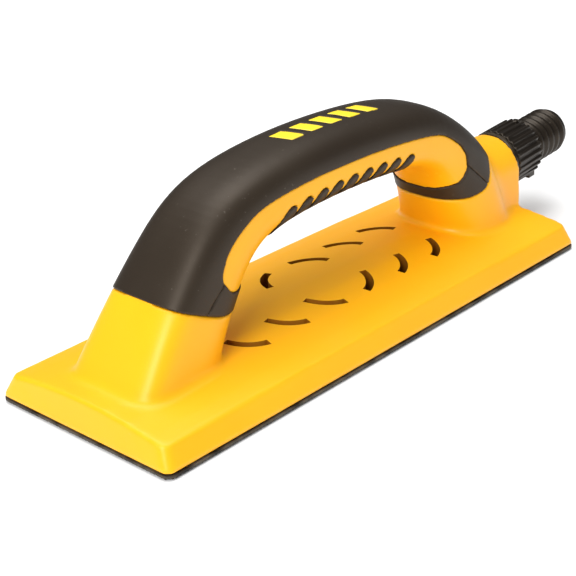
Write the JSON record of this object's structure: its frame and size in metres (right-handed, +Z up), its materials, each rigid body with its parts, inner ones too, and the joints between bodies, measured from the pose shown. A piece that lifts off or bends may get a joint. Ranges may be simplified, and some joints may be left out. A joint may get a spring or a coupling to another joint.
{
  "type": "hand sanding block",
  "caption": "Rectangular hand sanding block with a bow handle, soft grips, air slots, a hook-faced pad and a swivelling dust hose connector with a suction collar.",
  "frame": {"origin": "middle of the pad's sanding face", "axes": "+Z up out of the work, +X towards the hose connector, +Y to the left looking along +X"},
  "size_m": [0.271, 0.08, 0.0745],
  "materials": {
    "yellow_plastic": "satin moulded plastic",
    "grip_rubber": "soft-touch satin",
    "black_plastic": "satin moulded plastic",
    "grey_plastic": "matt glass-filled plastic",
    "hook_fabric": "woven hook face",
    "seal_rubber": "matt",
    "steel": "zinc plated"
  },
  "bodies": {
    "block": {"hook_pad": "hook_fabric", "base_housing": "yellow_plastic", "front_leg": "yellow_plastic", "rear_neck": "yellow_plastic", "backing_plate": "grey_plastic", "plate_seal": "seal_rubber", "plate_screw_1": "steel", "plate_screw_2": "steel", "plate_screw_3": "steel", "plate_screw_4": "steel", "plate_screw_5": "steel", "plate_screw_6": "steel", "handle_lower_shell": "yellow_plastic", "handle_upper_shell": "black_plastic", "top_grip": "grip_rubber", "palm_grip": "grip_rubber", "neck_band": "grip_rubber", "grip_inlay_1": "yellow_plastic", "grip_inlay_2": "yellow_plastic", "grip_inlay_3": "yellow_plastic", "grip_inlay_4": "yellow_plastic", "grip_inlay_5": "yellow_plastic", "port_sleeve": "black_plastic", "collar_seal": "seal_rubber", "spigot_bush": "grey_plastic"},
    "collar": {"regulator_collar": "black_plastic"},
    "spigot": {"hose_spigot": "black_plastic", "spigot_clip": "steel"}
  },
  "joints": [
    {"name": "suction_collar", "type": "hinge", "parent": "block", "child": "collar", "pos_m": [0.1115, 0, 0.0285], "axis": [0.9973, 0, 0.0732], "range_deg": [0, 70]},
    {"name": "hose_swivel", "type": "hinge", "parent": "block", "child": "spigot", "pos_m": [0.1115, 0, 0.0285], "axis": [0.9973, 0, 0.0732], "continuous": true}
  ]
}
